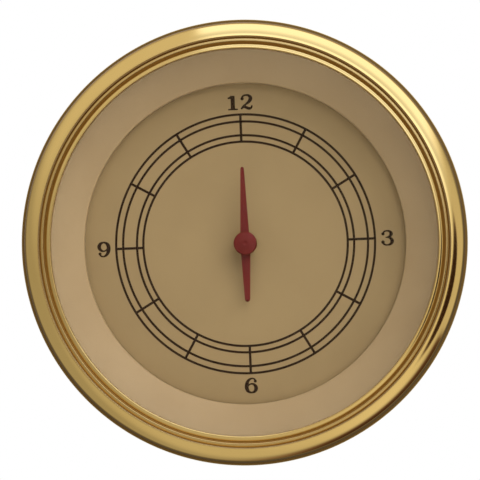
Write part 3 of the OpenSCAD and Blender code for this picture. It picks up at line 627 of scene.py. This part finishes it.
def circle_line(radius):
    """One printed circle, with its edges sloping to the dial."""
    half = CIRCLE_LINE / 2
    back, side, front = (DIAL_FRONT + share * PRINT_PROUD for share in (-1, 0.5, 1))
    return turned("circle_line", [
        (radius - half, back), (radius + half, back), (radius + half, side), (radius + 0.6 * half, front),
        (radius - 0.6 * half, front), (radius - half, side)], steps=THIN_STEPS)


def hour_lines():
    """One radial line across the four circles, copied to the twelve hours."""
    low = (-HOUR_LINE / 2, -DIAL_FRONT - PRINT_PROUD, CIRCLE_RADII[-1])
    high = (HOUR_LINE / 2, -DIAL_FRONT + PRINT_PROUD, CIRCLE_RADII[0])
    lines = [finish_edges(bar("hour_line", low, high), 0.4 * PRINT_PROUD, segments=1)]
    for hour in range(1, HOURS):
        lines.append(copy_of(lines[0], f"hour_line_{hour}"))
        turn(lines[-1], math.tau * hour / HOURS, "Y")
    return lines


chapter_ring = joined("print_chapter_ring", [circle_line(r) for r in CIRCLE_RADII] + hour_lines())
dress(chapter_ring, "dial_tan", "clock_case", paint=PRINT_INK)

# Strokes of the figures as (across, up, half width), their round ends and their widths, with the height as 1
ONE = ([[(.35, .03, .12), (.35, .93, .12)], [(.30, .90, .08), (.18, .80, .06), (.04, .785, .045)],
        [(.05, .04, .045), (.65, .04, .045)], [(.2, .06, .045), (.5, .06, .045)]], [], 0.66)
TWO = ([[(.13, .71, .07), (.17, .86, .055), (.36, .945, .055), (.57, .89, .085), (.655, .73, .115),
         (.57, .54, .095), (.36, .36, .06), (.15, .18, .055), (.06, .04, .05)],
        [(.07, .07, .055), (.20, .175, .065), (.36, .15, .085), (.54, .075, .09), (.67, .11, .065),
         (.74, .27, .04)]], [(.135, .715, .095)], 0.77)
THREE = ([[(.13, .77, .07), (.20, .90, .05), (.38, .955, .045), (.57, .90, .075), (.64, .76, .105),
           (.57, .62, .08), (.40, .545, .04), (.28, .535, .035)],
          [(.28, .535, .035), (.44, .53, .045), (.62, .44, .085), (.685, .28, .11), (.60, .11, .08),
           (.39, .04, .045), (.19, .09, .055), (.105, .22, .07)]],
         [(.135, .765, .095), (.115, .235, .10)], 0.79)
SIX = ([[(.66, .79, .06), (.62, .90, .05), (.47, .955, .045), (.28, .87, .075), (.15, .66, .105),
         (.115, .42, .115), (.17, .19, .105), (.29, .075, .07), (.43, .045, .05), (.60, .11, .085),
         (.70, .31, .115), (.62, .52, .085), (.45, .61, .05), (.28, .55, .045), (.17, .43, .04)]],
       [(.665, .775, .09)], 0.82)
NINE = ([[(SIX[2] - x, 1 - z, w) for x, z, w in SIX[0][0]]],
        [(SIX[2] - x, 1 - z, w) for x, z, w in SIX[1]], SIX[2])


def number(name, figures, middle):
    """A printed number: round strokes run together, pressed flat and laid on the dial about (x, z)."""
    bpy.ops.curve.primitive_bezier_curve_add()
    pen = bpy.context.object
    pen.data.dimensions = "3D"
    pen.data.bevel_depth = 1.0
    pen.data.bevel_resolution = 5
    pen.data.resolution_u = 10
    pen.data.use_fill_caps = True
    pen.data.splines.clear()
    balls, across = [], 0.0
    for strokes, ends, width in figures:
        for stroke in strokes:
            line = pen.data.splines.new("BEZIER")
            line.bezier_points.add(len(stroke) - 1)
            for knot, (x, z, half) in zip(line.bezier_points, stroke):
                knot.co = (across + x, 0, z)
                knot.radius = NUMBER_WEIGHT * half
                knot.handle_left_type = knot.handle_right_type = "AUTO"
        balls += [(across + x, z, NUMBER_WEIGHT * half) for x, z, half in ends]
        across += width + FIGURE_GAP
    across -= FIGURE_GAP
    bpy.ops.object.convert(target="MESH")
    pieces = [bpy.context.object]
    for x, z, half in balls:
        bpy.ops.mesh.primitive_ico_sphere_add(subdivisions=3, radius=half, location=(x, 0, z))
        pieces.append(start("stroke_end"))
    piece = joined(name, pieces)
    bpy.ops.object.transform_apply(location=True, rotation=True, scale=True)
    flow = piece.modifiers.new("run_together", "REMESH")
    flow.mode = "VOXEL"
    flow.voxel_size = NUMBER_GRAIN
    bpy.ops.object.modifier_apply(modifier=flow.name)
    edit(piece)
    bpy.ops.transform.translate(value=(-across / 2, 0, -0.5))
    size = Vector((NUMBER_SPREAD * NUMBER_HEIGHT, NUMBER_FLATNESS, NUMBER_HEIGHT))
    bpy.ops.transform.resize(value=size * MM, center_override=(0, 0, 0))
    bpy.ops.transform.translate(value=Vector((middle[0], -DIAL_FRONT, middle[1])) * MM)
    close_up()
    return piece


numbers = [number("twelve", [ONE, TWO], (0, NUMBER_RADIUS)), number("three", [THREE], (NUMBER_RADIUS, 0)),
           number("six", [SIX], (0, -NUMBER_RADIUS)), number("nine", [NINE], (-NUMBER_RADIUS, 0))]
dress(joined("print_numbers", numbers), "dial_tan", "clock_case", paint=PRINT_INK)


# ---------------------------------------------------------------- can and the pieces on its back

def hole(at, radius, first=-44.0, last=-47.0):
    """A drill for a round hole, by default one through the back wall."""
    section = [(0, first), (radius, first), (radius, last), (0, last)]
    return turned("hole", section, at=at, ring=False, steps=HOLE_STEPS)


can_section = (
    [(0, -46.0)] + arc((38.5, -42.0), 4.0, -90, 0, 12) + arc((43.3, 0.0), 0.8, 180, 90, 6)
    + [(45.15, 0.8), (45.15, 1.6)] + arc((43.3, 0.0), 1.6, 90, 180, 8)
    + arc((38.5, -42.0), 3.2, 0, -90, 10) + [(0, -45.2)])
can_shell = turned("can_shell", can_section, ring=False)
lug_slot = bar("lug_slot", (-7.45, 44.2, LAMP_AT[1] - 1.55), (7.45, 46.9, LAMP_AT[1] + 1.55))
block_slot = bar("block_slot", (-7.6, 44.1, BLOCK_Z - 4.1), (7.6, 46.8, BLOCK_Z + 4.1))
for drill in (hole(STUD_AT, STUD_HOLE), hole((-STUD_AT[0], STUD_AT[1]), STUD_HOLE), hole(KNOB_AT, BUSH_HOLE),
              combine(hole(LAMP_AT, LAMP_HOLE), lug_slot, "UNION"), block_slot,
              hole((-RIVET_X, BLOCK_Z), RIVET_HOLE), hole((RIVET_X, BLOCK_Z), RIVET_HOLE)):
    combine(can_shell, drill, "DIFFERENCE")
dress(can_shell, "can_steel", "clock_case", "case_can")

stud = turned("mounting_stud_right", [
    (0, -29.5), (1.5, -29.5), (1.5, -31.0), (3.0, -31.0), (3.0, -45.2), (2.4, -45.2), (2.4, -50.4),
    (1.6, -51.2), (1.6, -63.8), (1.4, -64.0), (0, -64.0)],
    at=STUD_AT, ring=False, steps=STUD_STEPS)
thread_limit = turned("thread_limit", [
    (0, -50.7), (1.8, -50.7), (2.1, -51.0), (2.1, -63.3), (1.43, -63.97), (0, -63.97)],
    at=STUD_AT, ring=False, steps=STUD_STEPS)
thread = thread_ridge(STUD_AT, radius=2.0, root=1.5, pitch=0.7, first=-50.6, last=-64.6)
combine(thread, thread_limit, "INTERSECT")
dress_pair(combine(stud, thread, "UNION"), "mounting_stud_left", STUD_AT[0], "steel", "mounting_studs")

washer = turned("stud_washer_right", [(2.55, -47.0), (5.0, -47.0), (5.0, -46.0), (2.55, -46.0)], at=STUD_AT,
                steps=HUB_STEPS)
dress_pair(finish_edges(washer, 0.16), "stud_washer_left", STUD_AT[0], "steel", "stud_washers")

bpy.ops.mesh.primitive_circle_add(vertices=6, radius=NUT_CORNER * MM, fill_type="NGON",
                                  location=(STUD_AT[0] * MM, NUT_SEAT_Y * MM, STUD_AT[1] * MM),
                                  rotation=(math.pi / 2, math.pi / 6, 0))
nut = start("stud_nut_right")
edit(nut)
bpy.ops.mesh.extrude_region_move(TRANSFORM_OT_translate={"value": (0, NUT_HEIGHT * MM, 0)})
close_up()
barrel = turned("nut_barrel", [
    (2.95, -47.0), (4.7, -47.0), (5.6, -47.5), (5.6, -49.7), (4.7, -50.2), (2.95, -50.2), (STUD_HOLE, -49.7),
    (STUD_HOLE, -47.5)], at=STUD_AT, steps=HUB_STEPS)
finish_edges(combine(nut, barrel, "INTERSECT"), 0.06, segments=2, angle=40)
dress_pair(nut, "stud_nut_left", STUD_AT[0], "steel", "stud_nuts")

bush = turned("setting_bush_brass", [
    (1.54, -47.2), (5.0, -47.2), (5.0, -46.0), (3.0, -46.0), (3.0, -42.4), (1.54, -42.4)],
    at=KNOB_AT, steps=HUB_STEPS)
dress(finish_edges(bush, 0.18), "brass", "clock_case", "setting_bush")


def fluted_knob():
    """A setting knob with flutes round its rim, built from its free end towards the can."""
    middle = Vector((KNOB_AT[0], KNOB_END_Y, KNOB_AT[1])) * MM
    bpy.ops.mesh.primitive_circle_add(vertices=KNOB_POINTS, radius=KNOB_RADIUS * MM, fill_type="NGON",
                                      location=middle, rotation=(math.pi / 2, 0, 0))
    knob = start("setting_knob_fluted")

    def widen(ratio):
        bpy.ops.transform.resize(value=(ratio, 1, ratio), center_override=middle)

    edit(knob)
    flute, point = 360 / FLUTES, 360 / KNOB_POINTS
    for step, radius in enumerate(FLUTE_RADII):
        def in_flute(x, y, z):
            angle = math.degrees(math.atan2(z - KNOB_AT[1], x - KNOB_AT[0])) % flute
            return abs(min(angle, flute - angle) - step * point) < point / 2
        pick(knob, "VERT", in_flute)
        widen(radius / KNOB_RADIUS)
    bpy.ops.mesh.select_all(action="SELECT")
    widen(KNOB_END_RADIUS / KNOB_RADIUS)
    for depth, ratio in ((0.6, KNOB_RADIUS / KNOB_END_RADIUS), (5.4, 1.0),
                         (0.0, KNOB_BOSS_RADIUS / KNOB_RADIUS), (1.0, 1.0)):
        bpy.ops.mesh.extrude_region_move(TRANSFORM_OT_translate={"value": (0, -depth * MM, 0)})
        widen(ratio)
    close_up()
    finish_edges(knob, 0.14, segments=2, angle=34)
    return combine(knob, hole(KNOB_AT, KNOB_BORE, first=-40.0, last=-53.3), "DIFFERENCE")


dress(fluted_knob(), "black_plastic", "setting", "setting_knob")

block = bar("terminal_block_moulded", (-BLOCK_HALF_WIDTH, 46.0, BLOCK_Z - BLOCK_HALF_HEIGHT),
            (BLOCK_HALF_WIDTH, 49.0, BLOCK_Z + BLOCK_HALF_HEIGHT))
for sx in (-1, 1):
    for sz in (-1, 1):
        round_corners(block, lambda x, y, z: (x * sx > BLOCK_HALF_WIDTH - NEAR
                                              and (z - BLOCK_Z) * sz > BLOCK_HALF_HEIGHT - NEAR), 1.5)
finish_edges(block, 0.3)
combine(block, bar("block_neck", (-7.5, 43.9, BLOCK_Z - 4), (7.5, 46.1, BLOCK_Z + 4)), "UNION")
for sx in (-1, 1):
    combine(block, bar("blade_slot", (sx * TAB_X - 0.45, 40, BLOCK_Z - 3.2),
                       (sx * TAB_X + 0.45, 52, BLOCK_Z + 3.2)), "DIFFERENCE")
    combine(block, hole((sx * RIVET_X, BLOCK_Z), RIVET_HOLE, last=-52.0), "DIFFERENCE")
dress(block, "black_plastic", "clock_case", "terminal_block")

tab = bar("terminal_blade_right", (TAB_X - TAB_HALF_THICKNESS, 32.8, BLOCK_Z - TAB_HALF_WIDTH),
          (TAB_X + TAB_HALF_THICKNESS, TAB_END_Y, BLOCK_Z + TAB_HALF_WIDTH))
for sz in (-1, 1):
    round_corners(tab, lambda x, y, z: (y > TAB_END_Y - NEAR
                                        and (z - BLOCK_Z) * sz > TAB_HALF_WIDTH - NEAR), 1.1, segments=1)
finish_edges(tab, 0.12, segments=2)
bpy.ops.mesh.primitive_cylinder_add(vertices=32, radius=TAB_HOLE * MM, depth=4 * MM,
                                    location=(TAB_X * MM, TAB_HOLE_Y * MM, BLOCK_Z * MM),
                                    rotation=(0, math.pi / 2, 0))
combine(tab, start("tab_hole"), "DIFFERENCE")
dress_pair(tab, "terminal_blade_left", TAB_X, "blade_brass", "terminal_blades")

rivet = turned("terminal_rivet_right", [
    (0, -49.5), (0.4, -49.46), (0.75, -49.33), (1.0, -49.1), (1.0, -49.0), (0.6, -49.0), (0.6, -45.2),
    (1.0, -45.2), (1.0, -44.95), (0.6, -44.75), (0, -44.7)],
    at=(RIVET_X, BLOCK_Z), ring=False, steps=HOLE_STEPS)
dress_pair(rivet, "terminal_rivet_left", RIVET_X, "steel", "terminal_rivets")

lamp = turned("lamp_holder_moulded", [
    (0, -49.5), (7.5, -49.5), (7.5, -46.0), (6.0, -46.0), (6.0, -39.0), (4.9, -39.0), (4.9, -41.5),
    (3.4, -41.5), (3.4, -44.5), (0, -44.5)], at=LAMP_AT, ring=False, steps=LAMP_STEPS)
finish_edges(lamp, 0.4)
grip = bar("lamp_grip", (-GRIP_HALF_WIDTH, 48.8, LAMP_AT[1] - 1),
           (GRIP_HALF_WIDTH, GRIP_END_Y, LAMP_AT[1] + 1))
for sx in (-1, 1):
    round_corners(grip, lambda x, y, z: y > GRIP_END_Y - NEAR and x * sx > GRIP_HALF_WIDTH - NEAR, 1.6)
combine(lamp, finish_edges(grip, 0.3), "UNION")
combine(lamp, bar("lamp_lugs", (-1.4, 43.9, LAMP_AT[1] - 7.3), (1.4, 45.1, LAMP_AT[1] + 7.3)), "UNION")
combine(lamp, hole(LAMP_AT, 4.88, first=-38.0, last=-41.5), "DIFFERENCE")
combine(lamp, hole(LAMP_AT, 3.38, first=-38.0, last=-44.5), "DIFFERENCE")
dress(lamp, "black_plastic", "clock_case", "lamp_holder")


def wound_coil():
    """Turns of wire on the motor's bobbin, lying along X."""
    low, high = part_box("coil_winding")
    half, outer = (high.x - low.x) / 2 / MM, (high.z - low.z) / 2 / MM
    inner, wire, end_gap = 2.42, 0.2, 0.1
    core_r, wire_root = outer - 0.08, outer - 0.14
    core = turned("coil_turns", [(inner, half), (core_r, half), (core_r, -half), (inner, -half)],
                  steps=HOLE_STEPS)
    turns = thread_ridge((0, 0), outer, wire_root, wire, half - end_gap, -half + end_gap)
    coil = joined("coil_turns", [core, turns])
    turn(coil, math.pi / 2, "Z")
    move(coil, (low + high) / 2 / MM)
    return coil


dress(wound_coil(), "copper_wire", "clock_case", "coil_winding")


# ---------------------------------------------------------------- studio, in metres

AHEAD = (0, -1, 0)
TENT_RADIUS = 1.5
ROOM_WARMTH = (1.0, 0.45, 0.3)
LIGHT_BOX_COOLNESS = (0.95, 1.09, 1.5)
FLOOR_AT = (0, -0.5, -0.075)
FLOOR_SIZE = (3.2, 2.1, 1)
FLOOR_LIFT = 0.3
FILL_LEVEL = 0.58
SEEN_LEVEL = 1.0
KEY_AT = (0.45, -0.72, 0.62)
KEY_SIZE = (1.0, 0.8)
KEY_POWER = 6.7

# The camera stands in front, a little to the right and below, rolled so that the dial leans left
CAMERA_DISTANCE = 0.8
CAMERA_RIGHT, CAMERA_BELOW, CAMERA_ROLL = (math.radians(angle) for angle in (1.0, 1.6, -2.35))
SENSOR_WIDTH = 36.0
IMAGE_WIDTH = 480
FOCAL_PIXELS = 3855
SHIFT_PIXELS = (-5.0, 2.9)


def studio_tent():
    """A tent round the clock that only polished metal and glass see: a warm room in front with a cool light
    box above, and a plain bright backdrop behind."""
    bpy.ops.mesh.primitive_uv_sphere_add(segments=48, ring_count=24, radius=TENT_RADIUS)
    tent = bpy.context.object
    tent.name = "studio_tent"
    material, shading, shader = blank_material("tent_tones")
    way = shading.nodes.new("ShaderNodeVectorMath")
    way.operation = "NORMALIZE"
    shading.link(shading.place(), way.inputs[0])

    def patch(towards, edges, tones):
        """From one tone outside a round patch of the tent to another inside it, with its edges as cosines."""
        facing = shading.nodes.new("ShaderNodeVectorMath")
        facing.operation = "DOT_PRODUCT"
        facing.inputs[1].default_value = Vector(towards).normalized()
        shading.link(way.outputs[0], facing.inputs[0])
        return shading.map(facing.outputs["Value"], edges, tones, "SMOOTHSTEP")

    def past(angle, edges):
        """Nothing before an angle round the dial, in degrees clockwise from twelve, and full past it."""
        turns = math.radians(angle)
        return patch((math.cos(turns), 0, -math.sin(turns)), edges, (0.0, 1.0))

    def combined(operation, first, *others):
        """The same operation on two or more tones, one after another."""
        for other in others:
            first = shading.math(operation, first, other)
        return first

    walls = combined("ADD", patch((-0.25, -0.72, 0.65), (0.70, 0.97), (0.46, 0.78)),
                     patch((0.08, -0.88, -0.46), (0.8, 0.97), (0.0, 0.22)),
                     patch((0.64, -0.75, -0.16), (0.72, 0.95), (0.0, 0.24)))
    # The light box ends sharply at the left and softly at the right. Its far and near edges are brightest
    box = combined("MULTIPLY", past(-11, (-0.012, 0.012)),
                   patch((-0.504, -0.123, 0.855), (-0.08, 0.14), (0.0, 1.0)),
                   patch(AHEAD, (0.9816, 0.9925), (1.0, 0.0)))
    box_tone = combined("ADD", patch(AHEAD, (0.70, 0.88), (1.6, 1.06)),
                        patch(AHEAD, (0.895, 0.93), (0.0, 0.65)))
    front = shading.mix(box, walls, box_tone)
    # Dark places: straight ahead, a small spot at the right, and the lower right
    front = combined("SUBTRACT", front, patch((-0.12, -0.99, -0.05), (0.975, 0.994), (0.0, 0.2)))
    front = combined("MULTIPLY", front, patch((0.487, -0.866, -0.113), (0.979, 0.989), (1.0, 0.05)))
    shade = combined("MULTIPLY", past(115, (-0.02, 0.06)), past(15, (0.0, 0.6)),
                     patch(AHEAD, (0.545, 0.766), (0.85, 0.0)))
    front = combined("SUBTRACT", front, combined("MULTIPLY", front, shade))
    back = combined("ADD", patch((0, 0, 1), (-0.1, 0.9), (0.33, 1.0)),
                    patch((-0.35, 0.85, 0.4), (0.7, 0.985), (0.0, 0.6)))
    in_front = patch(AHEAD, (0.1, 0.35), (0.0, 1.0))
    behind = patch(AHEAD, (0.1, 0.35), (1.0, 0.0))
    # The dark parts in front are warm, and the light box is cool
    paleness = combined("MAXIMUM", shading.map(front, (0.0, 0.46)), behind)
    hue = shading.mix(paleness, opaque(ROOM_WARMTH), opaque(WHITE), "RGBA")
    hue = shading.mix(combined("MULTIPLY", in_front, box), hue, opaque(LIGHT_BOX_COOLNESS), "RGBA")
    shader.inputs["Base Color"].default_value = (0, 0, 0, 1)
    shader.inputs["Specular IOR Level"].default_value = 0.0
    shading.link(hue, shader.inputs["Emission Color"])
    shading.link(shading.mix(in_front, back, front), shader.inputs["Emission Strength"])
    tent.data.materials.append(material)
    tent.visible_camera = tent.visible_diffuse = tent.visible_shadow = False


def pale_floor():
    """A pale floor below the clock that the camera sees as white away from the shadow."""
    bpy.ops.mesh.primitive_plane_add(size=1, location=FLOOR_AT)
    floor = bpy.context.object
    floor.name = "floor"
    floor.scale = FLOOR_SIZE
    paint = finish("pale_floor", (0.9, 0.9, 0.9), (0.88, 0.88, 0.88), (0.8, 0.9), bump=0.0, cloud=3.0,
                   speck=40.0)
    shading = Shading(paint.node_tree)
    shader = shading.nodes["Principled BSDF"]
    ray = shading.nodes.new("ShaderNodeLightPath").outputs
    lift = shading.math("MULTIPLY", ray["Is Camera Ray"], FLOOR_LIFT)
    shading.link(lift, shader.inputs["Emission Strength"])
    shader.inputs["Emission Color"].default_value = opaque(WHITE)
    floor.data.materials.append(paint)
    floor.visible_glossy = False


def plain_world():
    """White light from all round, brighter where it is seen than where it falls on a surface."""
    world = bpy.data.worlds.new("studio")
    bpy.context.scene.world = world
    world.use_nodes = True
    shading = Shading(world.node_tree)
    background = shading.nodes["Background"]
    ray = shading.nodes.new("ShaderNodeLightPath").outputs
    seen = shading.math("ADD", ray["Is Camera Ray"], ray["Is Glossy Ray"])
    seen = shading.math("ADD", seen, ray["Is Transmission Ray"], clamp=True)
    shading.link(shading.map(seen, target=(FILL_LEVEL, SEEN_LEVEL)), background.inputs["Strength"])
    background.inputs["Color"].default_value = opaque(WHITE)


def key_light():
    """A wide soft light from the upper right that leaves no glint of its own."""
    panel = bpy.data.lights.new("key_light", "AREA")
    panel.shape = "RECTANGLE"
    panel.size, panel.size_y = KEY_SIZE
    panel.energy = KEY_POWER
    light = bpy.data.objects.new("key_light", panel)
    bpy.context.scene.collection.objects.link(light)
    light.location = KEY_AT
    light.rotation_euler = (-Vector(KEY_AT)).to_track_quat("-Z", "Y").to_euler()
    light.visible_glossy = False


def place_camera():
    """A long lens, set so that the clock fills the picture."""
    data = bpy.data.cameras.new("camera")
    data.sensor_width = SENSOR_WIDTH
    data.lens = FOCAL_PIXELS / IMAGE_WIDTH * SENSOR_WIDTH
    data.shift_x, data.shift_y = (pixels / IMAGE_WIDTH for pixels in SHIFT_PIXELS)
    camera = bpy.data.objects.new("camera", data)
    bpy.context.scene.collection.objects.link(camera)
    from_clock = Vector((math.sin(CAMERA_RIGHT), -1.0, -math.sin(CAMERA_BELOW))).normalized()
    camera.location = from_clock * CAMERA_DISTANCE
    camera.rotation_mode = "QUATERNION"
    camera.rotation_quaternion = (-from_clock).to_track_quat("-Z", "Y") @ Quaternion((0, 0, 1), CAMERA_ROLL)
    bpy.context.scene.camera = camera


studio_tent()
pale_floor()
plain_world()
key_light()
place_camera()
bpy.context.scene.view_settings.view_transform = "Standard"
